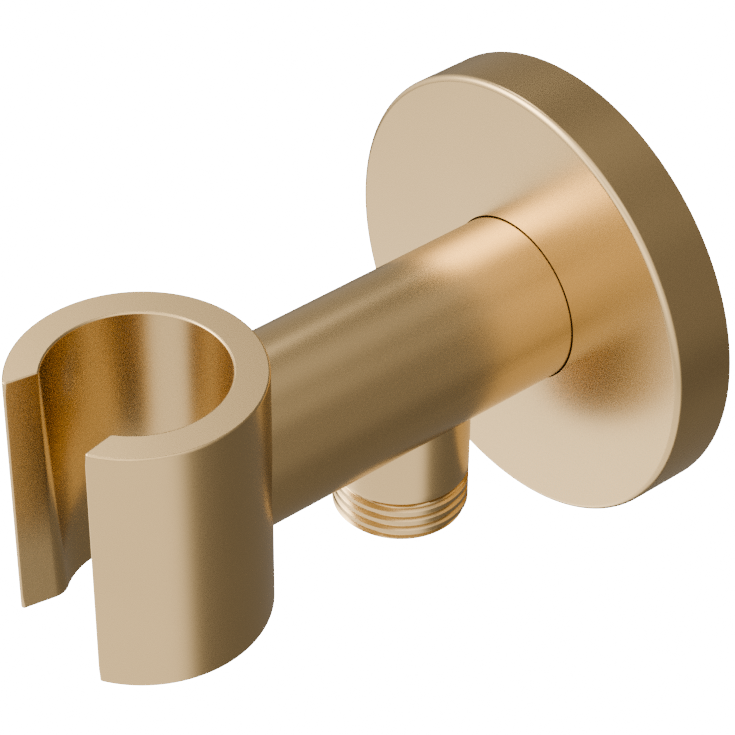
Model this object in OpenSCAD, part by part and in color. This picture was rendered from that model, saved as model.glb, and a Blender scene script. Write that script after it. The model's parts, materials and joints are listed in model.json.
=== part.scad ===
// Hand shower holder: a wall elbow with a fixed cup for the handset and a
// threaded outlet for the hose. Millimetres.
// Origin: centre of the wall fitting, on the wall surface. +Z is up and +Y
// points into the wall, so the arm runs out along -Y.

/* [Rosette] */
// Diameter of the wall rosette
rosette_d = 71.8; // [66:0.2:80]
// Depth of the rosette, from the wall to its front face
rosette_t = 10.85; // [10.5:0.05:11.25]
// Radius of the rosette's front edge
rosette_edge = 1.2; // [0.5:0.1:1.2]
// Thickness of the rosette's front wall
rosette_wall = 2.5; // [2:0.1:2.6]
// Gap all round between the rosette and the arm
rosette_gap = 0.22; // [0.2:0.02:0.3]

/* [Arm] */
// Diameter of the arm
arm_d = 26.5; // [26:0.1:27]
// Distance from the wall to the axis of the cup
cup_reach = 80.95; // [78:0.05:95]
// Distance from the wall to the axis of the hose outlet
outlet_reach = 32.95; // [32.95:0.05:34]

/* [Holder cup] */
// Outside diameter of the cup
cup_d = 36.8; // [36:0.02:38]
// Height of the cup's top above the arm's axis
cup_top = 21.3; // [18:0.1:24]
// Depth of the cup's bottom below the arm's axis
cup_bottom = 20.8; // [18:0.1:22]
// Radius of the tapered seat at the top
seat_r_top = 13.3; // [13:0.05:13.6]
// Radius of the tapered seat at the bottom
seat_r_bottom = 11.9; // [11.6:0.05:12.1]
// Width of the hose slot at its narrowest
slot_w = 16.8; // [16:0.1:17]
// Radius of the slot's inner edges, where the slot runs into the seat
slot_round = 4.0; // [4:0.1:5.5]
// Flare of each slot face towards the front, in degrees
slot_flare = 10.5; // [10:0.5:18]
// Radius of the slot's outer upright edges
lip_edge = 0.4; // [0.3:0.1:1]
// Radius of the cup's outer rims
rim_edge = 0.35; // [0.3:0.05:0.8]
// Radius of the seat's upper rim
seat_edge = 0.5; // [0.2:0.05:0.5]

/* [Outlet] */
// Depth of the neck's lower edge below the arm's axis
neck_bottom = 20.6; // [20:0.1:22]
// Depth of the thread's end below the arm's axis
outlet_end = 27.95; // [27.95:0.05:29]
// Radius of the G1/2 thread over its crests
thread_r = 10.4775; // [10.4:0.0005:10.5]

/* [Wall connection] */
// Length of thread that goes into the wall fitting
wall_thread_len = 13; // [10:0.5:16]
// Radius of the spigot that the arm is pushed onto
spigot_r = 9.4; // [9.3:0.05:9.45]

/* [Non-return valve] */
// Travel of the poppet
poppet_travel = 2.5; // [1.5:0.1:2.5]
// Radius of the poppet's stem
stem_r = 1.5; // [1.3:0.05:1.52]

/* [Hidden] */
$fn = 96;

arm_r = arm_d / 2;
cup_r = cup_d / 2;
ros_r = rosette_d / 2;
neck_r = 10.5;

arm_back = 5.0;        // back end of the arm, inside the rosette
socket_r = 9.5;        // socket for the wall nipple's spigot
socket_end = 24.4;
chamber_r = 7.5;       // water chamber
chamber_end = 42.0;
shank_r = 8.4;         // shank of the outlet nipple, in the arm's cross hole
shank_top = -8.2;
outlet_bore_r = 6.5;
pocket_r = 7.55;       // pocket for the valve cartridge
pocket_top = -12.2;

spigot_end = 23.8;
collar_back = 1.5;     // back face of the collar, against the gasket
thread_end = 0.25;     // the wall thread's relief starts here
gasket_back = 0.35;
relief_r = thread_r - 0.8;
collar_front = 4.7;
set_d = 15.0;          // distance from the wall to the set screw
ring_d = [18.9, 21.9]; // the two O-ring grooves, from the wall
ring_groove_w = 1.9;
ring_floor_r = 8.0;

screw_r = 2.5;         // M5, over the crests
screw_head_d = 67.7;   // distance from the wall to the cup screw's head
screw_len = 16;

ros_hole_r = arm_r + rosette_gap;
ros_side = 2.7;
boss_r = 17.5;
boss_back = 2.5;
grip_d = 7.0;          // the grip ring's distance from the wall
grip_ring_r = 0.85;    // section radius of the grip ring
grip_in_r = arm_r + 0.02;

seat_z = -14.4;        // sealing face of the valve
seal_t = 1.2;
head_t = 1.2;
guide_top = -22.6;
stem_end = -outlet_end + 0.6 + poppet_travel;  // stays inside the outlet at full travel

steel = [0.62, 0.62, 0.63];
gold = [0.72, 0.58, 0.40];
brass_raw = [0.80, 0.66, 0.34];
rubber_black = [0.08, 0.08, 0.08];
plastic_white = [0.86, 0.86, 0.83];

// Turns +Z to point out of the wall: a height becomes a distance from the wall.
module outward() rotate([90, 0, 0]) children();

// A turned shape: points are [radius, height].
module turned(points) rotate_extrude() polygon(points);

// A ring of round section, touching radii r_in and r_in + 2 * s.
module o_ring(r_in, s, h) translate([0, 0, h]) rotate_extrude() translate([r_in + s, 0]) circle(r = s, $fn = 32);

// Square corner of size e filled with everything outside a quarter circle:
// cutting it away leaves a rounded edge.
module edge_cut(e) difference() {
    square([e + 1, e + 1]);
    circle(r = e, $fn = 48);
}

// ---------- arm ----------
module arm_body() color(gold) difference() {
    outward() turned([[0, arm_back], [arm_r - 0.5, arm_back], [arm_r, arm_back + 0.5], [arm_r, cup_reach], [0, cup_reach]]);
    // the end is coped to sit on the cup
    translate([0, -cup_reach, -arm_r - 1]) cylinder(r = cup_r, h = arm_d + 2);
    // socket with a lead-in, then the water chamber with the drill's cone
    outward() turned([[0, arm_back - 1], [socket_r + 1, arm_back - 1], [socket_r + 1, arm_back], [socket_r, arm_back + 1],
                      [socket_r, socket_end], [chamber_r, socket_end], [chamber_r, chamber_end], [0, chamber_end + 4.4]]);
    // cross hole for the outlet nipple
    translate([0, -outlet_reach, -arm_r - 1]) cylinder(r = shank_r, h = arm_r + 1 + shank_top);
    translate([0, -outlet_reach, -arm_r - 1]) cylinder(r = outlet_bore_r, h = arm_r + 1);
    // tapped hole for the set screw
    translate([0, -set_d, -arm_r - 1]) cylinder(r = screw_r, h = arm_r);
    // tapped blind hole for the cup screw
    outward() translate([0, 0, screw_head_d - screw_len - 1.5]) cylinder(r = screw_r, h = screw_len + 3);
}

// ---------- cup ----------
// The rounds of the slot's inner edges start a little inside the seat, and those of the lips
// reach a little past the faces they join, so that every edge is crossed and none is grazed.
slot_start = seat_r_bottom - 0.12;
lip_in = lip_edge - 0.015;
// Centre of the round on the slot's inner edge, and its far tangent point.
round_x = slot_w / 2 + slot_round;
round_y = -sqrt(pow(slot_start + slot_round, 2) - pow(round_x, 2));
flare_x = round_x - slot_round * cos(slot_flare);
flare_y = round_y - slot_round * sin(slot_flare);
// Where the flared face, moved in by the lip's radius, meets the circle of lip centres.
lip_px = flare_x + lip_in * cos(slot_flare);
lip_py = flare_y + lip_in * sin(slot_flare);
lip_b = lip_px * sin(slot_flare) - lip_py * cos(slot_flare);
lip_c = pow(lip_px, 2) + pow(lip_py, 2) - pow(cup_r - lip_in, 2);
lip_s = -lip_b + sqrt(pow(lip_b, 2) - lip_c);
lip_x = lip_px + lip_s * sin(slot_flare);
lip_y = lip_py - lip_s * cos(slot_flare);
// The seat's radius just under its rounded rim.
seat_r_rim = seat_r_top - (seat_r_top - seat_r_bottom) * seat_edge / (cup_top + cup_bottom);

// Plan of the slot: two rounds that run into flared faces.
module slot_plan() difference() {
    far = 12;
    polygon([[0, 0], [-round_x, round_y], [-flare_x, flare_y], [-flare_x - far * sin(slot_flare), flare_y - far * cos(slot_flare)],
             [flare_x + far * sin(slot_flare), flare_y - far * cos(slot_flare)], [flare_x, flare_y], [round_x, round_y]]);
    for (s = [-1, 1]) translate([s * round_x, round_y]) circle(r = slot_round);
}

// What the rounded lips lose: the corner outside the lip's circle.
module lip_corner(s) difference() {
    polygon([[s * lip_x, lip_y],
             [s * (lip_x - 1.2 * lip_edge * cos(slot_flare)), lip_y - 1.2 * lip_edge * sin(slot_flare)],
             [s * (lip_x - 1.2 * lip_edge), lip_y - 4 * lip_edge],
             [s * lip_x * (1 + 2 * lip_edge / cup_r), lip_y * (1 + 2 * lip_edge / cup_r)]]);
    translate([s * lip_x, lip_y]) circle(r = lip_edge, $fn = 48);
}

module holder_cup() color(gold) translate([0, -cup_reach, 0]) difference() {
    // wall with a tapered seat and rounded rims
    rotate_extrude() difference() {
        polygon([[seat_r_bottom, -cup_bottom], [cup_r, -cup_bottom], [cup_r, cup_top], [seat_r_top, cup_top]]);
        translate([cup_r - rim_edge, cup_top - rim_edge]) edge_cut(rim_edge);
        translate([cup_r - rim_edge, -cup_bottom + rim_edge]) mirror([0, 1]) edge_cut(rim_edge);
        translate([seat_r_rim + seat_edge - 0.005, cup_top - seat_edge]) mirror([1, 0]) edge_cut(seat_edge);
    }
    // slot
    translate([0, 0, -cup_bottom - 1]) linear_extrude(cup_top + cup_bottom + 2) {
        slot_plan();
        lip_corner(1);
        lip_corner(-1);
    }
    // recessed, countersunk hole for the screw into the arm
    translate([0, cup_reach, 0]) outward() turned([[0, screw_head_d - screw_len], [screw_r, screw_head_d - screw_len], [screw_r, screw_head_d - 2.3],
                                                   [4.8, screw_head_d], [4.8, cup_reach], [0, cup_reach]]);
}

module cup_screw() color(steel) outward() difference() {
    turned([[0, screw_head_d - screw_len], [screw_r - 0.4, screw_head_d - screw_len], [screw_r, screw_head_d - screw_len + 0.4],
            [screw_r, screw_head_d - 2.3], [4.6, screw_head_d - 0.2], [4.6, screw_head_d], [0, screw_head_d]]);
    translate([0, 0, screw_head_d - 2.2]) cylinder(r = 3 / sqrt(3), h = 3, $fn = 6);
}

// ---------- rosette ----------
module rosette() color(gold) outward() rotate_extrude() difference() {
    translate([ros_hole_r, 0.15]) square([ros_r - ros_hole_r, rosette_t - 0.15]);
    // rounded front edge
    translate([ros_r - rosette_edge, rosette_t - rosette_edge]) edge_cut(rosette_edge);
    // hollow back
    translate([boss_r, -1]) square([ros_r - ros_side - boss_r, rosette_t - rosette_wall + 1]);
    translate([0, -1]) square([boss_r + 0.1, boss_back + 1]);
    // groove for the ring that grips the arm
    translate([ros_hole_r - 1, grip_d - 1.0]) square([grip_in_r + 2 * grip_ring_r - ros_hole_r + 1, 2.0]);
    // groove for the wall seal
    translate([ros_r - 2.2, -1]) square([1.4, 2.3]);
}

module rosette_o_ring() color(rubber_black) outward() o_ring(grip_in_r, grip_ring_r, grip_d);

module wall_seal() color(rubber_black) outward() rotate_extrude() translate([ros_r - 2.2, 0]) square([1.4, 1.3]);

// ---------- wall connection ----------
module wall_nipple() color(brass_raw) outward() difference() {
    turned([[0, -wall_thread_len], [thread_r - 0.9, -wall_thread_len], [thread_r, -wall_thread_len + 0.9], [thread_r, thread_end],
            [relief_r, thread_end], [relief_r, collar_back], [12.0, collar_back], [12.4, collar_back + 0.4], [12.4, collar_front - 0.4], [12.0, collar_front], [spigot_r, collar_front],
            [spigot_r, set_d - 2.6], [spigot_r - 1.2, set_d - 1.4], [spigot_r - 1.2, set_d + 1.4], [spigot_r, set_d + 2.6],
            [spigot_r, ring_d[0] - ring_groove_w / 2], [ring_floor_r, ring_d[0] - ring_groove_w / 2],
            [ring_floor_r, ring_d[0] + ring_groove_w / 2], [spigot_r, ring_d[0] + ring_groove_w / 2],
            [spigot_r, ring_d[1] - ring_groove_w / 2], [ring_floor_r, ring_d[1] - ring_groove_w / 2],
            [ring_floor_r, ring_d[1] + ring_groove_w / 2], [spigot_r, ring_d[1] + ring_groove_w / 2],
            [spigot_r, spigot_end - 0.4], [spigot_r - 0.4, spigot_end], [0, spigot_end]]);
    // waterway, with a hexagon socket for the fitting key
    translate([0, 0, -wall_thread_len - 1]) cylinder(r = 5.2, h = wall_thread_len + spigot_end + 2);
    translate([0, 0, spigot_end - 8]) cylinder(r = 10.4 / sqrt(3), h = 9, $fn = 6);
}

module wall_gasket() color(rubber_black) outward() difference() {
    translate([0, 0, gasket_back]) cylinder(r = 12.3, h = collar_back - gasket_back);
    translate([0, 0, -1]) cylinder(r = relief_r + 0.2, h = collar_back + 2);
}

module nipple_o_ring_front() color(rubber_black) outward() o_ring(ring_floor_r, (socket_r - ring_floor_r) / 2, ring_d[1]);

module nipple_o_ring_rear() color(rubber_black) outward() o_ring(ring_floor_r, (socket_r - ring_floor_r) / 2, ring_d[0]);

module set_screw() color(steel) translate([0, -set_d, 0]) difference() {
    turned([[0, -12.5], [screw_r - 0.3, -12.5], [screw_r, -12.2], [screw_r, -9.6], [1.1, -8.25], [0, -8.25]]);
    translate([0, 0, -13]) cylinder(r = 2.5 / sqrt(3), h = 2.4, $fn = 6);
}

// ---------- hose outlet ----------
module outlet_nipple() color(gold) translate([0, -outlet_reach, 0]) difference() {
    union() {
        difference() {
            // neck, a thread relief, and the threaded end
            turned([[0, -outlet_end], [thread_r - 0.55, -outlet_end], [thread_r, -outlet_end + 0.6], [thread_r, -neck_bottom - 0.6],
                    [thread_r - 1.1, -neck_bottom - 0.6], [thread_r - 1.1, -neck_bottom], [neck_r, -neck_bottom], [neck_r, 0], [0, 0]]);
            // top coped to the arm
            rotate([90, 0, 0]) translate([0, 0, -30]) cylinder(r = arm_r, h = 60);
        }
        translate([0, 0, -arm_r - 2]) cylinder(r = shank_r, h = arm_r + 2 + shank_top);
    }
    translate([0, 0, -outlet_end - 1]) cylinder(r = outlet_bore_r, h = outlet_end + 1);
    translate([0, 0, -outlet_end - 1]) cylinder(r = pocket_r, h = outlet_end + 1 + pocket_top);
}

// ---------- non-return valve cartridge ----------
module valve_housing() color(plastic_white) translate([0, -outlet_reach, 0]) difference() {
    turned([[0, -26.5], [7.2, -26.5], [7.5, -26.2], [7.5, -14.3], [6.35, -14.3], [6.35, -12.9], [7.5, -12.9], [7.5, -12.5], [7.3, -12.3], [0, -12.3]]);
    // inlet, sealing face, bore, and the guide's recess
    turned([[0, -27], [6.4, -27], [6.4, -23.0], [6.0, -23.0], [6.0, seat_z], [4.0, seat_z], [4.0, -12.8], [4.5, -12.3], [4.5, -12], [0, -12]]);
}

module valve_o_ring() color(rubber_black) translate([0, -outlet_reach, 0]) o_ring(6.35, 0.6, -13.6);

module valve_guide() color(plastic_white) translate([0, -outlet_reach, 0]) difference() {
    union() {
        difference() {
            translate([0, 0, -25.6]) cylinder(r = 6.4, h = 2.6);
            translate([0, 0, -26]) cylinder(r = 5.3, h = 4);
        }
        translate([0, 0, -25.2]) cylinder(r = 2.9, h = guide_top + 25.2);
        for (a = [0, 120, 240]) rotate([0, 0, a]) translate([-0.6, 0, -25.2]) cube([1.2, 5.8, 2.0]);
    }
    translate([0, 0, -26]) cylinder(r = stem_r + 0.06, h = 5);
}

module valve_poppet() color([0.15, 0.32, 0.60]) translate([0, -outlet_reach, 0])
    turned([[0, stem_end], [stem_r - 0.3, stem_end], [stem_r, stem_end + 0.3], [stem_r, seat_z - 0.02 - seal_t - head_t - 0.8], [1.9, seat_z - 0.02 - seal_t - head_t - 0.8],
            [1.9, seat_z - 0.02 - seal_t - head_t], [4.8, seat_z - 0.02 - seal_t - head_t], [5.0, seat_z - 0.22 - seal_t - head_t + 0.4],
            [5.0, seat_z - 0.02 - seal_t], [2.0, seat_z - 0.02 - seal_t], [2.0, seat_z - 0.02], [2.8, seat_z - 0.02],
            [2.8, seat_z + 0.3], [1.6, seat_z + 1.2], [0, seat_z + 1.2]]);

module valve_seal() color(rubber_black) translate([0, -outlet_reach, 0])
    turned([[2.0, seat_z - 0.02 - seal_t], [5.0, seat_z - 0.02 - seal_t], [5.2, seat_z - 0.22], [5.0, seat_z - 0.02], [2.0, seat_z - 0.02]]);

// The spring: a round wire wound from the guide up to the poppet.
wire_r = 0.22;
coil_r = 2.4;
turns = 4.5;
steps = 16;
sides = 8;
coil_z0 = guide_top + wire_r + 0.01;
coil_z1 = seat_z - 0.02 - seal_t - head_t - wire_r - 0.03;
// The end turns lie flat, so the pitch is gathered in the middle.
function lift(t) = let (q = min(max((t - 0.16) / 0.68, 0), 1)) coil_z0 + (coil_z1 - coil_z0 - 2 * (2 * wire_r + 0.05) * 0.75) * q
                   + (2 * wire_r + 0.05) * 0.75 * (min(t / 0.16, 1) + max((t - 0.84) / 0.16, 0));
spring_points = [for (i = [0 : turns * steps], k = [0 : sides - 1])
    let (t = i / (turns * steps), a = 360 * i / steps, b = 360 * k / sides)
    [(coil_r + wire_r * cos(b)) * cos(a), (coil_r + wire_r * cos(b)) * sin(a), lift(t) + wire_r * sin(b)]];
spring_faces = concat(
    [for (i = [0 : turns * steps - 1], k = [0 : sides - 1]) [i * sides + k, (i + 1) * sides + k, (i + 1) * sides + (k + 1) % sides]],
    [for (i = [0 : turns * steps - 1], k = [0 : sides - 1]) [i * sides + k, (i + 1) * sides + (k + 1) % sides, i * sides + (k + 1) % sides]],
    [[for (k = [0 : sides - 1]) k]],
    [[for (k = [sides - 1 : -1 : 0]) turns * steps * sides + k]]);
module valve_spring() color(steel) translate([0, -outlet_reach, 0]) polyhedron(points = spring_points, faces = spring_faces, convexity = 6);

arm_body();
holder_cup();
cup_screw();
rosette();
rosette_o_ring();
wall_seal();
wall_nipple();
wall_gasket();
nipple_o_ring_front();
nipple_o_ring_rear();
set_screw();
outlet_nipple();
valve_housing();
valve_o_ring();
valve_guide();
valve_poppet();
valve_seal();
valve_spring();
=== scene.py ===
"""Looks for the hand shower holder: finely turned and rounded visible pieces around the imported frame,
satin metal and plain materials, a pale floor, soft studio light and the photograph's camera."""

import json
import math

import bmesh
import bpy
import numpy as np
from mathutils import Matrix, Vector


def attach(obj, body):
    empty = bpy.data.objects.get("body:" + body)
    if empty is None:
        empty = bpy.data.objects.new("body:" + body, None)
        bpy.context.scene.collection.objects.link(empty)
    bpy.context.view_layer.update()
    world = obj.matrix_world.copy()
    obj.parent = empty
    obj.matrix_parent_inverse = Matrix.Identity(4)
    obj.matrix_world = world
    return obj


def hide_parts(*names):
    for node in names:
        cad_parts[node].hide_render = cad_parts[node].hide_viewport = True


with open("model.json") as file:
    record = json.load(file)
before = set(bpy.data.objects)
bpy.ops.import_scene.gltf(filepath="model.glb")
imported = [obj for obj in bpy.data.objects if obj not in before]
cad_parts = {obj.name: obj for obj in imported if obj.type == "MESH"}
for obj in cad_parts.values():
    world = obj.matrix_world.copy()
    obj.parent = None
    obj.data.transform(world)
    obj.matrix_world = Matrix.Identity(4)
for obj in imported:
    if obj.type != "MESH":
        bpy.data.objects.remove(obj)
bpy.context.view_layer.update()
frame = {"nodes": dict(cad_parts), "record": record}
scene = bpy.context.scene

MM = 0.001
TAU = 2 * math.pi

# ---------------------------------------------------------------- sizes, millimetres, as in the part's source
ARM_R = 13.25
CUP_REACH = 80.95
OUTLET_REACH = 32.95
CUP_R = 18.4
CUP_TOP, CUP_BOTTOM = 21.3, -20.8
SEAT_TOP, SEAT_BOTTOM = 13.3, 11.9
SLOT_X, SLOT_Y, SLOT_FLARE = 8.5, -10.83, math.radians(10.5)    # a point of the right slot face, and its flare
ROS_R, ROS_T = 35.85, 10.85
HOLE_R = 13.43
THREAD_R, PITCH = 10.4775, 1.814
NECK_R, NECK_BOTTOM, OUTLET_END = 10.5, 20.6, 27.95


# ---------------------------------------------------------------- mesh helpers
def add_mesh(name, verts, faces, normals=None, sharp=None, weld=None):
    """A smooth-shaded object from points in millimetres."""
    me = bpy.data.meshes.new(name)
    me.from_pydata([tuple(float(c) * MM for c in v) for v in verts], [], [tuple(int(i) for i in f) for f in faces])
    if weld:
        bm = bmesh.new()
        bm.from_mesh(me)
        bmesh.ops.remove_doubles(bm, verts=bm.verts, dist=weld * MM)
        bmesh.ops.dissolve_degenerate(bm, edges=bm.edges, dist=weld * MM)
        bmesh.ops.recalc_face_normals(bm, faces=bm.faces)
        bm.to_mesh(me)
        bm.free()
    me.polygons.foreach_set("use_smooth", [True] * len(me.polygons))
    me.update()
    if normals is not None:
        me.normals_split_custom_set_from_vertices([tuple(float(c) for c in n) for n in normals])
    elif sharp:
        me.set_sharp_from_angle(angle=math.radians(sharp))
    ob = bpy.data.objects.new(name, me)
    scene.collection.objects.link(ob)
    return ob


def rounded_profile(points, segments=6):
    """A closed profile of (radius, height, rounding) with each corner replaced by an arc.
    Returns points and outward normals, for a profile listed with the solid on its left."""
    pts, nrm = [], []
    n = len(points)
    for i in range(n):
        p0, p1, p2 = (np.array(points[(i + k) % n][:2], float) for k in (-1, 0, 1))
        a, b = p1 - p0, p2 - p1
        la, lb = np.linalg.norm(a), np.linalg.norm(b)
        a, b = a / la, b / lb
        turn = math.atan2(a[0] * b[1] - a[1] * b[0], float(a @ b))
        r = points[i][2]
        na, nb = np.array([a[1], -a[0]]), np.array([b[1], -b[0]])
        if abs(turn) < 1e-6 or r <= 0:
            pts.append(p1); nrm.append((na + nb) / np.linalg.norm(na + nb))
            continue
        cut = min(r * math.tan(abs(turn) / 2), 0.49 * la, 0.49 * lb)
        r = cut / math.tan(abs(turn) / 2)
        side = 1 if turn > 0 else -1
        centre = p1 - a * cut - side * na * r
        for k in range(segments + 1):
            t = side * (abs(turn) * k / segments)
            c, s = math.cos(t), math.sin(t)
            m = np.array([c * na[0] - s * na[1], s * na[0] + c * na[1]])
            pts.append(centre + side * m * r)
            nrm.append(m)
    return np.array(pts), np.array(nrm)


def turned(name, points, place, segments=288, rounding=6, split=None):
    """A turned ring from a closed rounded profile. place(x, y, h) puts it in the frame."""
    pts, nrm = rounded_profile(points, rounding)
    if split:                                   # extra points along long straight runs keep the faces even
        p2, n2 = [], []
        for i in range(len(pts)):
            j = (i + 1) % len(pts)
            k = max(1, int(np.linalg.norm(pts[j] - pts[i]) / split))
            for s in range(k):
                t = s / k
                m = nrm[i] * (1 - t) + nrm[j] * t
                p2.append(pts[i] * (1 - t) + pts[j] * t)
                n2.append(m / np.linalg.norm(m))
        pts, nrm = np.array(p2), np.array(n2)
    verts, norms, faces = [], [], []
    m = len(pts)
    for i in range(segments):
        c, s = math.cos(TAU * i / segments), math.sin(TAU * i / segments)
        for (r, h), (nr, nh) in zip(pts, nrm):
            verts.append(place(r * c, r * s, h))
            norms.append(place(nr * c, nr * s, nh))
        a, b = i * m, ((i + 1) % segments) * m
        for k in range(m):
            l = (k + 1) % m
            faces.append((a + k, b + k, b + l, a + l))
    return add_mesh(name, verts, faces, norms)


def outward(x, y, h):
    """Local +Z points out of the wall, as in the part's source."""
    return (x, -h, y)


# ---------------------------------------------------------------- holder cup
def cup_half(rc, d_in, d_slot, d_lip, d_out, lip_r, corner_r):
    """Right half of the cup's outline at one height, in the cup's own plan. The d values move each side into the metal.
    The seat runs through a fillet into the flared slot face, and that through the rounded lip into the outside."""
    ri, ro = rc + d_in, CUP_R - d_out
    sf, cf = math.sin(SLOT_FLARE), math.cos(SLOT_FLARE)

    def on_face(offset, radius):
        """The point at this radius on the slot face, moved into the metal by offset."""
        x, y = SLOT_X + cf * offset, SLOT_Y + sf * offset
        b = x * sf - y * cf
        s = -b + math.sqrt(b * b - x * x - y * y + radius * radius)
        return x + s * sf, y - s * cf

    fx, fy = on_face(d_slot + corner_r, ri + corner_r)
    ang = math.atan2(fy, fx)
    chain_a, tag = [], []
    n = 84
    for k in range(n):
        t = math.pi / 2 + (ang - math.pi / 2) * k / n
        chain_a.append((ri * math.cos(t), ri * math.sin(t))); tag.append(0.0)
    n = 14
    for k in range(n):
        t = ang + math.pi + (SLOT_FLARE - ang) * k / n
        chain_a.append((fx + corner_r * math.cos(t), fy + corner_r * math.sin(t))); tag.append(k / n)
    px, py = fx - corner_r * cf, fy - corner_r * sf
    lx, ly = on_face(d_lip + lip_r, ro - lip_r)
    qx, qy = lx - lip_r * cf, ly - lip_r * sf
    n = 10
    for k in range(n + 1):
        t = k / n
        chain_a.append((px + (qx - px) * t, py + (qy - py) * t)); tag.append(1.0 + t)
    # lip, then the outside back to the middle
    w0, w1 = math.pi + SLOT_FLARE, math.atan2(ly, lx) + TAU
    lip, tag_l = [], []
    n = 10
    for k in range(1, n):
        t = w0 + (w1 - w0) * k / n
        lip.append((lx + lip_r * math.cos(t), ly + lip_r * math.sin(t))); tag_l.append(2.0 + k / n)
    end = math.atan2(ly, lx)
    polar = [math.atan2(y, x) for x, y in chain_a]
    lo, hi = polar[-1], math.pi / 2
    chain_b = []
    for t in polar:
        u = hi + (t - hi) * (hi - end) / (hi - lo)
        chain_b.append((ro * math.cos(u), ro * math.sin(u)))
    return chain_a, tag, lip, tag_l, chain_b


def pierce(rows, cols, r0, r1, c0, c1, grid, surface, normal, radius, verts, norms, faces, rings, flip, angles=None):
    """Fills the block of a grid between rows r0..r1 and columns c0..c1 with rings around a round hole in the XZ plane.
    Returns the vertex indices of the hole's edge, and their angles."""
    loop = [grid[r0][c % cols] for c in range(c0, c1)] + [grid[r][c1 % cols] for r in range(r0, r1)] \
        + [grid[r1][c % cols] for c in range(c1, c0, -1)] + [grid[r][c0 % cols] for r in range(r1, r0, -1)]
    plan = [(verts[i][0], verts[i][2]) for i in loop]
    if angles is None:
        angles = [math.atan2(z, x) for x, z in plan]
    previous = loop
    for k in range(1, rings + 1):
        t = k / rings
        current = []
        for (x, z), a in zip(plan, angles):
            px = x * (1 - t) + radius * math.cos(a) * t
            pz = z * (1 - t) + radius * math.sin(a) * t
            current.append(len(verts))
            verts.append((px, surface(px, pz), pz))
            norms.append(normal(px, pz))
        join(previous, current, faces, flip)
        previous = current
    return previous, angles


def join(a, b, faces, flip):
    n = len(a)
    for i in range(n):
        j = (i + 1) % n
        q = (a[i], a[j], b[j], b[i])
        faces.append(q[::-1] if flip else q)


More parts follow.
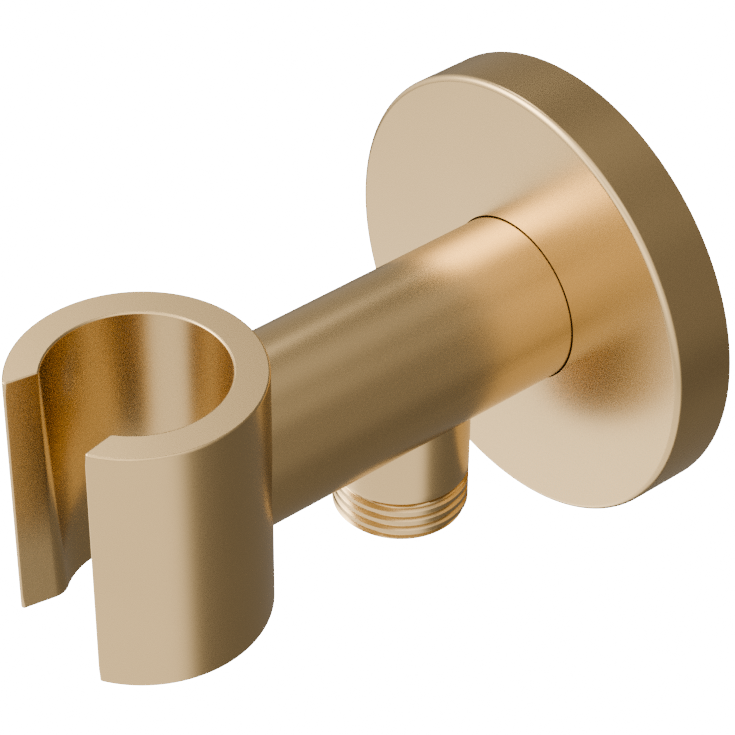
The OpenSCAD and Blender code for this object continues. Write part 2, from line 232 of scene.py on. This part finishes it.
def make_cup():
    slope = (SEAT_TOP - SEAT_BOTTOM) / (CUP_TOP - CUP_BOTTOM)
    seat = lambda z: SEAT_BOTTOM + slope * (z - CUP_BOTTOM)
    soft = lambda t: t * t * (3 - 2 * t)
    # edge roundings: seat, slot face, lip, outside
    top = (0.34, 0.22, 0.27, 0.32)
    low = (0.30, 0.25, 0.30, 0.38)

    def level(e, t, end):
        """One loop: e are the roundings at this end, t runs from the flat face (0) to the wall (1)."""
        d = [x * (1 - math.sin(t * math.pi / 2)) for x in e]
        h = [x * (1 - math.cos(t * math.pi / 2)) for x in e]
        return d, h

    def loop(d, h, z_of, mid):
        """h: not used; z_of gives the height of each side's point, as a function of the side's tag."""
        lip_r = 0.30 + 0.16 * (1 - soft(min(1.0, (1 - mid) / 0.05))) + 0.14 * (1 - soft(min(1.0, mid / 0.06)))
        lip_r = max(lip_r - d[2], 0.10)
        zc = z_of(0)
        corner = 0.5 + 2.7 * (1 - mid) ** 0.62
        a, ta, l, tl, b = cup_half(seat(zc), d[0], d[1], d[2], d[3], lip_r, corner)
        pts = []
        mix = lambda t: (z_of(0) * (1 - t) + z_of(1) * t) if t <= 1 else (
            (z_of(1) * (2 - t) + z_of(2) * (t - 1)) if t <= 2 else (z_of(2) * (3 - t) + z_of(3) * (t - 2)))
        half = [(x, y, mix(t)) for (x, y), t in zip(a, ta)] + [(x, y, mix(t)) for (x, y), t in zip(l, tl)] \
            + [(x, y, z_of(3)) for x, y in reversed(b)]
        # full loop: right half from the inner middle to the outer middle, then the left half back
        return half + [(-x, y, z) for x, y, z in reversed(half[1:-1])], len(a), len(l), len(b)

    rows, counts = [], None
    steps, walls = 8, 46
    for k in range(steps):                       # bottom rounding
        d, h = level(low, k / steps, 0)
        r, *counts = loop(d, h, lambda s: CUP_BOTTOM + h[s], 0.0)
        rows.append(r)
    for k in range(walls + 1):
        t = k / walls
        t = t + 0.10 * math.sin(TAU * t) / TAU * -1 * 4  # closer rows near both ends
        z_of = lambda s: (CUP_BOTTOM + low[s]) * (1 - t) + (CUP_TOP - top[s]) * t
        r, *counts = loop((0, 0, 0, 0), None, z_of, t)
        rows.append(r)
    for k in range(steps - 1, -1, -1):           # top rounding
        d, h = level(top, k / steps, 1)
        r, *counts = loop(d, h, lambda s: CUP_TOP - h[s], 1.0)
        rows.append(r)
    na, nl, nb = counts
    P = np.array(rows)                           # rows x cols x 3
    R, C = P.shape[:2]
    along = np.roll(P, -1, 1) - np.roll(P, 1, 1)
    up = np.empty_like(P)
    up[1:-1] = P[2:] - P[:-2]
    up[0], up[-1] = P[1] - P[0], P[-1] - P[-2]
    N = np.cross(along, up)
    N /= np.linalg.norm(N, axis=2, keepdims=True)
    # the loop runs clockwise around the axis inside and back outside, so the sign is fixed on the outer middle
    outer = na + nl + nb - 1
    if N[R // 2, outer, 1] < 0:
        N = -N
    N[0], N[-1] = (0, 0, -1), (0, 0, 1)
    verts = [tuple(v) for v in P.reshape(-1, 3)]
    norms = [tuple(v) for v in N.reshape(-1, 3)]
    grid = [[r * C + c for c in range(C)] for r in range(R)]
    faces = []
    flip_wall = True
    # blocks left open for the screw's hole, inside and outside
    z_rows = P[:, 0, 2]
    r0, r1 = int(np.argmin(np.abs(z_rows + 6.2))), int(np.argmin(np.abs(z_rows - 6.2)))
    w = int(np.argmax(P[R // 2, :na, 0] > 6.0))
    in0, in1 = -w, w
    out0, out1 = outer - w, outer + w
    inside_block = {c % C for c in range(in0, in1)}
    outside_block = set(range(out0, out1))
    for r in range(R - 1):
        for c in range(C):
            if r0 <= r < r1 and (c in inside_block or c in outside_block):
                continue
            q = (grid[r][c], grid[r][(c + 1) % C], grid[r + 1][(c + 1) % C], grid[r + 1][c])
            faces.append(q[::-1] if flip_wall else q)
    # flat faces: pairs of inner and outer points, and the two lips
    for r, turn in ((0, False), (R - 1, True)):
        g = grid[r]
        for side in (0, 1):
            if side == 0:
                a = [g[i] for i in range(na)]
                l = [g[na + i] for i in range(nl)]
                b = [g[na + nl + nb - 1 - i] for i in range(nb)]
            else:
                a = [g[0]] + [g[C - i] for i in range(1, na)]
                l = [g[C - na - i] for i in range(nl)]
                b = [g[outer]] + [g[outer + i] for i in range(1, nb)]
            quads = [(a[i], a[i + 1], b[i + 1], b[i]) for i in range(na - 1)] + [tuple([a[-1]] + l + [b[-1]])]
            for q in quads:
                faces.append(q[::-1] if (turn ^ (side == 1)) else q)
    # the recessed hole for the screw, along Y
    def cone(x, z):
        return math.sqrt(seat(z) ** 2 - x * x)
    def cone_n(x, z):
        r = seat(z)
        v = np.array([-x / r, -cone(x, z) / r, slope])
        return tuple(v / np.linalg.norm(v))
    def wall(x, z):
        return math.sqrt(CUP_R ** 2 - x * x)
    def wall_n(x, z):
        return (x / CUP_R, wall(x, z) / CUP_R, 0)
    edge, angles = pierce(R, C, r0, r1, in0, in1, grid, cone, cone_n, 4.8 + 0.18, verts, norms, faces, 5, True)
    ring = edge
    def add_ring(radius, ys, nfun):
        out = []
        for a, y in zip(angles, ys):
            out.append(len(verts))
            verts.append((radius * math.cos(a), y, radius * math.sin(a)))
            norms.append(nfun(a))
        return out
    def inward(a, y=0.0):
        v = np.array([-math.cos(a), y, -math.sin(a)])
        return tuple(v / np.linalg.norm(v))
    y_edge = [cone((4.98) * math.cos(a), 4.98 * math.sin(a)) for a in angles]
    for k in range(1, 5):                        # rounded edge of the recess
        t = k / 4 * math.pi / 2
        nxt = add_ring(4.98 - 0.18 * math.sin(t), [y + 0.18 * (1 - math.cos(t)) for y in y_edge], lambda a: inward(a, -math.cos(t) / max(math.sin(t), 0.2)))
        join(ring, nxt, faces, True); ring = nxt
    n_a = len(angles)
    for radius, y, ny in ((4.8, 13.20, 0.0), (4.75, 13.30, -0.8), (2.55, 15.50, -0.8), (2.5, 15.60, 0.0)):
        nxt = add_ring(radius, [y] * n_a, lambda a: inward(a, ny))
        join(ring, nxt, faces, True); ring = nxt
    # outside block: the ring takes its own angles, and close_hole lines it up with the inside ring
    edge2, _ = pierce(R, C, r0, r1, out0, out1, grid, wall, wall_n, 2.5, verts, norms, faces, 5, True, angles=None)
    return P, verts, norms, faces, ring, edge2, angles


P, verts, norms, faces, ring_in, ring_out, hole_angles = make_cup()


def close_hole(verts, norms, faces, ring_in, ring_out):
    """Joins the screw hole's inner end to its outer end. Both run round the same circle, one of them reversed."""
    a = [math.atan2(verts[i][2], verts[i][0]) for i in ring_in]
    b = [math.atan2(verts[i][2], verts[i][0]) for i in ring_out]
    start = min(range(len(b)), key=lambda i: abs((b[i] - a[0] + math.pi) % TAU - math.pi))
    n = len(b)
    step = (b[(start + 1) % n] - b[start] + math.pi) % TAU - math.pi
    step_a = (a[1] - a[0] + math.pi) % TAU - math.pi
    way = 1 if step * step_a > 0 else -1
    ordered = [ring_out[(start + way * k) % n] for k in range(n)]
    copy = []
    for i in ordered:
        x, y, z = verts[i]
        copy.append(len(verts)); verts.append((x, y - 0.06, z)); norms.append((-x / 2.5, 0, -z / 2.5))
    join(ring_in, copy, faces, True)
    join(copy, ordered, faces, True)


close_hole(verts, norms, faces, ring_in, ring_out)
faces = [f[::-1] for f in faces]
cup = add_mesh("cup_turned", [(x, y - CUP_REACH, z) for x, y, z in verts], faces, norms)
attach(cup, "holder")
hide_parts("holder_cup")

# ---------------------------------------------------------------- rosette
rosette = turned("rosette_turned", [
    (HOLE_R, ROS_T, 0.06), (HOLE_R, 8.0, 0.1), (14.92, 8.0, 0.25), (14.92, 6.0, 0.25), (HOLE_R, 6.0, 0.1), (HOLE_R, 2.5, 0.3),
    (17.5, 2.5, 0.4), (17.5, 8.25, 0.5), (33.2, 8.25, 0.6), (33.2, 0.15, 0.15), (33.7, 0.15, 0.1), (33.7, 1.3, 0.1),
    (35.1, 1.3, 0.1), (35.1, 0.15, 0.1), (ROS_R, 0.15, 0.12), (ROS_R, ROS_T, 0.95)], outward, segments=360, rounding=8, split=2.0)
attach(rosette, "rosette_cover")
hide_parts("rosette")


# ---------------------------------------------------------------- threaded pieces
def thread_rows(start, end, crest, depth, flat, lim_start, lim_end, columns, edge=0.05):
    """Rows of (radius, distance) along a right-hand thread, from start to end; rows follow the helix and stop at both ends."""
    half = PITCH / 2
    rise = 1 / math.tan(math.radians(27.5))
    xs = [-half, -0.86, -0.80, -0.74, -0.68, -0.5, -0.36, -0.27, -0.22, -0.17, -0.1, 0, 0.1, 0.17, 0.22, 0.27, 0.36, 0.5, 0.68, 0.74, 0.80, 0.86]

    def profile(x):
        x = abs((x + half) % PITCH - half)
        r = crest - max(0.0, x - flat / 2) * rise
        low = crest - depth
        k = 0.16                                  # rounds the bottom of the groove
        if r < low + k:
            t = (low + k - r) / (2 * k)
            r = low if t >= 1 else low + k * (1 - t) ** 2
        k = edge                                  # and rounds the crest's edges
        if r > crest - k:
            t = (crest - r) / k
            r = crest - k * t * t * (2 - t) * 0.5 if t < 1 else r
        return r

    turns = int((end - start) / PITCH) + 3
    rows = []
    for j in range(-1, turns):
        for x in xs:
            row = []
            for i in range(columns + 1):
                a = start + j * PITCH + x + PITCH * i / columns
                a = min(max(a, start), end)
                ph = a - start - PITCH * i / columns
                row.append((min(profile(ph), lim_start(a), lim_end(a)), a))
            rows.append(row)
    return rows, len(xs)


def threaded(name, before, rows_shift, after, place, columns, weld=0.0004, sharp=32):
    """A closed turned piece: plain rings, a threaded stretch, and more rings. A ring is a function of the angle
    that gives (radius, distance). The last ring joins the first."""
    rows, shift = rows_shift
    verts, faces, index = [], [], {}

    def put(r, a, i):
        t = TAU * (i % columns) / columns
        p = place(r * math.cos(t), r * math.sin(t), a)
        key = tuple(int(round(c * 20000)) for c in p)
        if key not in index:
            index[key] = len(verts)
            verts.append(p)
        return index[key]

    def strip(lower, upper):
        for i in range(columns):
            q = [lower[i], lower[i + 1], upper[i + 1], upper[i]]
            q = [v for k, v in enumerate(q) if v != q[k - 1]]
            if len(set(q)) >= 3 and len(set(q)) == len(q):
                faces.append(tuple(q))

    def ring(fun):
        out = [put(*fun(TAU * i / columns), i) for i in range(columns)]
        return out + [out[0]]

    first = [ring(f) for f in before]
    threads = [[put(r, a, i) for i, (r, a) in enumerate(row)] for row in rows]
    last = [ring(f) for f in after]
    for a, b in zip(first, first[1:]): strip(a, b)
    strip(first[-1], threads[0])
    for a, b in zip(threads, threads[1:]): strip(a, b)
    strip(threads[-1], last[0])
    for a, b in zip(last, last[1:]): strip(a, b)
    strip(last[-1], first[0])
    return add_mesh(name, verts, faces, sharp=sharp, weld=weld)


def fixed(r, a):
    return lambda t: (r, a)


# hose outlet: distance is the depth below the arm's axis
def saddle(r, lift=0.0):
    """The arm's underside at radius r around the outlet's axis. place() below turns the angle's x into the frame's x."""
    return lambda t: (r, math.sqrt(ARM_R ** 2 - (r * math.cos(t)) ** 2) + lift)


def downward(x, y, h):
    return (x, -OUTLET_REACH + y, -h)


relief = THREAD_R - 0.85
outlet_rows = thread_rows(NECK_BOTTOM + 0.30, OUTLET_END, THREAD_R, 0.70, 0.80,
                          lambda a: relief + max(0.0, a - NECK_BOTTOM - 0.30) * 2.0,
                          lambda a: THREAD_R - 0.50 + (OUTLET_END - a) * 0.9, 288, 0.14)
neck = [saddle(8.4), saddle(NECK_R - 0.6), saddle(NECK_R - 0.03)]
neck += [(lambda s: (lambda t: (NECK_R, (math.sqrt(ARM_R ** 2 - (NECK_R * math.cos(t)) ** 2) + 0.03) * (1 - s) + (NECK_BOTTOM - 0.18) * s)))(k / 10) for k in range(11)]
neck += [fixed(NECK_R - 0.18 * (1 - math.cos(k / 4 * math.pi / 2)), NECK_BOTTOM - 0.18 * (1 - math.sin(k / 4 * math.pi / 2))) for k in range(1, 5)]
neck += [fixed(relief + 0.08, NECK_BOTTOM), fixed(relief, NECK_BOTTOM + 0.08), fixed(relief, NECK_BOTTOM + 0.20)]
mouth = [fixed(9.93, OUTLET_END - 0.02), fixed(9.86, OUTLET_END), fixed(7.75, OUTLET_END), fixed(7.62, OUTLET_END - 0.05), fixed(7.55, OUTLET_END - 0.16)]
mouth += [fixed(7.55, OUTLET_END - 0.16 - k * 1.6) for k in range(1, 10)]
mouth += [fixed(7.55, 12.2), fixed(6.5, 12.2), fixed(6.5, 8.2), fixed(8.4, 8.2)]
mouth += [fixed(8.4, 9.2)]
outlet = threaded("outlet_threaded", neck, outlet_rows, mouth, downward, 288)
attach(outlet, "holder")
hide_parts("outlet_nipple")

# wall nipple: distance from the wall, negative inside it. Built from the wall side outwards.
root = THREAD_R - 1.10
wall_rows = thread_rows(-13.0, 0.25, THREAD_R, 1.10, 0.40,
                        lambda a: THREAD_R - 0.9 + (a + 13.0) * 1.0,
                        lambda a: root + (0.25 - a) * 1.1 + 0.0, 240)


def hexed(across, a):
    def fun(t):
        u = (t + math.pi / 6) % (math.pi / 3) - math.pi / 6
        return (min(across / 2 / math.cos(u), across / math.sqrt(3) - 0.05), a)
    return fun


inner = [hexed(10.4, 23.8), hexed(10.4, 20.0), hexed(10.4, 15.8), fixed(5.2, 15.8)] + [fixed(5.2, 15.8 - k * 2.0) for k in range(1, 14)]
inner += [fixed(5.2, -12.85), fixed(5.35, -13.0), fixed(9.45, -13.0)]
front = [fixed(root, 0.9), fixed(root, 1.5), fixed(12.0, 1.5), fixed(12.4, 1.9), fixed(12.4, 3.1), fixed(12.4, 4.3), fixed(12.0, 4.7), fixed(9.4, 4.7),
         fixed(9.4, 8.0), fixed(9.4, 12.4), fixed(8.2, 13.6), fixed(8.2, 16.4), fixed(9.4, 17.6)]
for d in (18.9, 21.9):
    front += [fixed(9.4, d - 0.95), fixed(8.0, d - 0.95), fixed(8.0, d + 0.95), fixed(9.4, d + 0.95)]
front += [fixed(9.4, 23.4), fixed(9.0, 23.8)]
nipple = threaded("wall_nipple_threaded", inner, wall_rows, front, outward, 240)
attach(nipple, "holder")
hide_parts("wall_nipple")


# ---------------------------------------------------------------- materials
def node_material(name):
    mat = bpy.data.materials.new(name)
    mat.use_nodes = True
    nt = mat.node_tree
    nt.nodes.clear()
    out = nt.nodes.new("ShaderNodeOutputMaterial")
    bsdf = nt.nodes.new("ShaderNodeBsdfPrincipled")
    nt.links.new(bsdf.outputs[0], out.inputs[0])
    coord = nt.nodes.new("ShaderNodeTexCoord")
    return mat, nt, bsdf, coord.outputs["Object"]


def noise(nt, coord, scale, detail=3.0, rough=0.5, stretch=None):
    if stretch:
        m = nt.nodes.new("ShaderNodeMapping")
        m.inputs["Scale"].default_value = stretch
        nt.links.new(coord, m.inputs["Vector"])
        coord = m.outputs[0]
    n = nt.nodes.new("ShaderNodeTexNoise")
    n.inputs["Scale"].default_value = scale
    n.inputs["Detail"].default_value = detail
    n.inputs["Roughness"].default_value = rough
    nt.links.new(coord, n.inputs["Vector"])
    return n.outputs["Fac"]


def ramp(nt, fac, low, high, a=0.3, b=0.7):
    m = nt.nodes.new("ShaderNodeMapRange")
    m.inputs["From Min"].default_value = a
    m.inputs["From Max"].default_value = b
    m.inputs["To Min"].default_value = low
    m.inputs["To Max"].default_value = high
    nt.links.new(fac, m.inputs["Value"])
    return m.outputs[0]


def tint(nt, fac, dark, light):
    m = nt.nodes.new("ShaderNodeMix")
    m.data_type = "RGBA"
    m.inputs["A"].default_value = (*dark, 1)
    m.inputs["B"].default_value = (*light, 1)
    nt.links.new(fac, m.inputs["Factor"])
    return m.outputs["Result"]


def bump(nt, bsdf, height, strength, distance):
    b = nt.nodes.new("ShaderNodeBump")
    b.inputs["Strength"].default_value = strength
    b.inputs["Distance"].default_value = distance
    nt.links.new(height, b.inputs["Height"])
    nt.links.new(b.outputs[0], bsdf.inputs["Normal"])


def satin(name, colour, rough, fine=1.0):
    """Satin coated brass: a very fine blasted grain under an even coating."""
    mat, nt, bsdf, co = node_material(name)
    grain = noise(nt, co, 2600, 2.0, 0.6)
    cloud = noise(nt, co, 55, 3.0, 0.55)
    base = tint(nt, ramp(nt, cloud, 0, 1), [c * 0.985 for c in colour], [min(c * 1.015, 1) for c in colour])
    nt.links.new(base, bsdf.inputs["Base Color"])
    bsdf.inputs["Metallic"].default_value = 1.0
    nt.links.new(ramp(nt, grain, rough - 0.015, rough + 0.015), bsdf.inputs["Roughness"])
    bump(nt, bsdf, grain, 0.05 * fine, 0.00003)
    return mat


def simple(name, colour, rough, metallic=0.0, scale=900, spread=0.06, height=0.00003, strength=0.15, spec=None):
    mat, nt, bsdf, co = node_material(name)
    g = noise(nt, co, scale, 4.0, 0.55)
    base = tint(nt, ramp(nt, g, 0, 1), [c * (1 - spread) for c in colour], [min(c * (1 + spread), 1) for c in colour])
    nt.links.new(base, bsdf.inputs["Base Color"])
    bsdf.inputs["Metallic"].default_value = metallic
    nt.links.new(ramp(nt, g, rough - 0.05, rough + 0.05), bsdf.inputs["Roughness"])
    bump(nt, bsdf, g, strength, height)
    return mat


GOLD = (0.60, 0.455, 0.26)
mats = {
    "satin_gold": satin("satin_gold_coating", GOLD, 0.27),
    "gold_thread": satin("satin_gold_thread", GOLD, 0.16, 0.6),
    "plain_brass": simple("plain_turned_brass", (0.86, 0.66, 0.30), 0.26, 1.0, 1400, 0.04),
    "screw_steel": simple("stainless_steel", (0.62, 0.61, 0.59), 0.24, 1.0, 1600, 0.05),
    "black_rubber": simple("black_rubber_moulded", (0.022, 0.022, 0.023), 0.55, 0.0, 1200, 0.2),
    "white_plastic": simple("white_moulded_plastic", (0.82, 0.82, 0.79), 0.38, 0.0, 700, 0.015),
    "blue_plastic": simple("blue_moulded_plastic", (0.06, 0.16, 0.45), 0.35, 0.0, 700, 0.04),
}
slots = {p["node"]: p["material_slot"] for p in frame["record"]["subparts"]}
for name, ob in frame["nodes"].items():
    mat = mats[slots[name]]
    for i in range(max(1, len(ob.material_slots))):
        if not ob.material_slots:
            ob.data.materials.append(mat)
        ob.material_slots[i].material = mat
for ob, slot in ((cup, "satin_gold"), (rosette, "satin_gold"), (nipple, "plain_brass")):
    ob.data.materials.append(mats[slot])
outlet.data.materials.append(mats["satin_gold"])

# ---------------------------------------------------------------- camera
cam_data = bpy.data.cameras.new("camera")
cam = bpy.data.objects.new("camera", cam_data)
scene.collection.objects.link(cam)
az, el, roll = 0.8727781, 0.6795685, 0.0073200
fwd = Vector((-math.sin(az) * math.cos(el), math.cos(az) * math.cos(el), -math.sin(el)))
right = Vector((math.cos(az), math.sin(az), 0))
up = right.cross(fwd)
right, up = right * math.cos(roll) + up * math.sin(roll), up * math.cos(roll) - right * math.sin(roll)
m = Matrix.Identity(4)
for i in range(3):
    m[i][0], m[i][1], m[i][2] = right[i], up[i], -fwd[i]
m[0][3], m[1][3], m[2][3] = 0.2739717, -0.2694138, 0.2897912
cam.matrix_world = m
cam_data.sensor_width = 36
cam_data.lens = 3113.96 * 36 / 735
cam_data.shift_x = -0.5 / 735
cam_data.shift_y = 0.5 / 735
cam_data.clip_start = 0.01
cam_data.clip_end = 20
scene.camera = cam

# ---------------------------------------------------------------- light
scene.view_settings.view_transform = "AgX"
scene.view_settings.look = "AgX - Medium High Contrast"
world = bpy.data.worlds.new("studio")
scene.world = world
world.use_nodes = True
wt = world.node_tree
wt.nodes.clear()
w_out = wt.nodes.new("ShaderNodeOutputWorld")
w_bg = wt.nodes.new("ShaderNodeBackground")
wt.links.new(w_bg.outputs[0], w_out.inputs[0])


def wmath(op, a, b=None):
    n = wt.nodes.new("ShaderNodeMath")
    n.operation = op
    for i, v in enumerate((a, b)):
        if v is None:
            continue
        if isinstance(v, (int, float)):
            n.inputs[i].default_value = v
        else:
            wt.links.new(v, n.inputs[i])
    return n.outputs[0]


def fade(value, inside, outside):
    """1 where the value is under inside, 0 where it is over outside."""
    n = wt.nodes.new("ShaderNodeMapRange")
    n.interpolation_type = "SMOOTHSTEP"
    n.inputs["From Min"].default_value = outside
    n.inputs["From Max"].default_value = inside
    wt.links.new(value, n.inputs["Value"])
    return n.outputs[0]


w_co = wt.nodes.new("ShaderNodeTexCoord")
w_xyz = wt.nodes.new("ShaderNodeSeparateXYZ")
wt.links.new(w_co.outputs["Generated"], w_xyz.inputs[0])
# bearing: 0 in front of the wall, positive to the right. height: the angle above the horizon.
bearing = wmath("ARCTAN2", w_xyz.outputs[0], wmath("MULTIPLY", w_xyz.outputs[1], -1.0))
height = wmath("ARCSINE", w_xyz.outputs[2])

# Soft panels around the studio, in degrees: bearing and height of the centre, half sizes, softness of the edges, strength.
PANELS = {
    "front": (-7.5, 7.5, 95.5, 30, 30, 4.5, 1.19),
    "front_right": (17.5, 15, 36, 13.5, 6.5, 13.5, 0.965),
    "front_high": (27, 56, 87, 16, 30, 16, 1.77),
    "front_low": (21.5, -55, 68.5, 28, 12.5, 7.5, 1.23),
    "left_low": (-58.5, -57, 16, 20, 16, 20, 2.9),
    "key": (-44.5, 35, 19, 19, 19, 19, 7.7),
    "upper_left": (-109.5, 49, 14, 11.5, 9, 7, 3.5),
    "overhead": (0, 90, 180, 23.5, 1, 18, 1.09),
    "right": (93, 3.5, 19, 38, 19, 7, 0.36),
    "room": (-174, 28, 73, 50, 23, 14.5, 0.2),
    "room_low": (153.5, -62, 70, 33, 1.5, 13, 0.18),
}
FILL = 0.047
total = None
for lon, lat, half_lon, half_lat, soft_lon, soft_lat, strength in PANELS.values():
    rel = wmath("SUBTRACT", bearing, math.radians(lon))
    n = wt.nodes.new("ShaderNodeMath")
    n.operation = "WRAP"
    wt.links.new(rel, n.inputs[0])
    n.inputs[1].default_value, n.inputs[2].default_value = math.pi, -math.pi
    across = fade(wmath("ABSOLUTE", n.outputs[0]), math.radians(half_lon - soft_lon), math.radians(half_lon + soft_lon))
    rise = fade(wmath("ABSOLUTE", wmath("SUBTRACT", height, math.radians(lat))), math.radians(half_lat - soft_lat), math.radians(half_lat + soft_lat))
    one = wmath("MULTIPLY", wmath("MULTIPLY", across, rise), float(strength))
    total = one if total is None else wmath("ADD", total, one)
wt.links.new(wmath("ADD", total, FILL), w_bg.inputs["Strength"])
w_bg.inputs["Color"].default_value = (1.08, 1.01, 0.91, 1)

# ---------------------------------------------------------------- floor
floor_mesh = bpy.data.meshes.new("floor")
s = 3.0
floor_mesh.from_pydata([(-s, -s, -1.0), (s, -s, -1.0), (s, s, -1.0), (-s, s, -1.0)], [], [(0, 1, 2, 3)])
floor = bpy.data.objects.new("floor", floor_mesh)
scene.collection.objects.link(floor)
fm = bpy.data.materials.new("pale_floor")
fm.use_nodes = True
fb = fm.node_tree.nodes["Principled BSDF"]
fb.inputs["Base Color"].default_value = (0.9, 0.9, 0.9, 1)
fb.inputs["Roughness"].default_value = 0.8
fb.inputs["Emission Color"].default_value = (1, 1, 1, 1)
fb.inputs["Emission Strength"].default_value = 9.0
floor_mesh.materials.append(fm)
# The floor's pale colour goes on all round behind the object, also in views from the side and from below.
room_mesh = bpy.data.meshes.new("backdrop")
bm = bmesh.new()
bmesh.ops.create_uvsphere(bm, u_segments=48, v_segments=24, radius=6.0)
bm.to_mesh(room_mesh)
bm.free()
room_mesh.materials.append(fm)
backdrop = bpy.data.objects.new("backdrop", room_mesh)
scene.collection.objects.link(backdrop)
for ob in (floor, backdrop):
    ob.visible_glossy = False
    ob.visible_diffuse = False
    ob.visible_transmission = False
    ob.visible_shadow = False
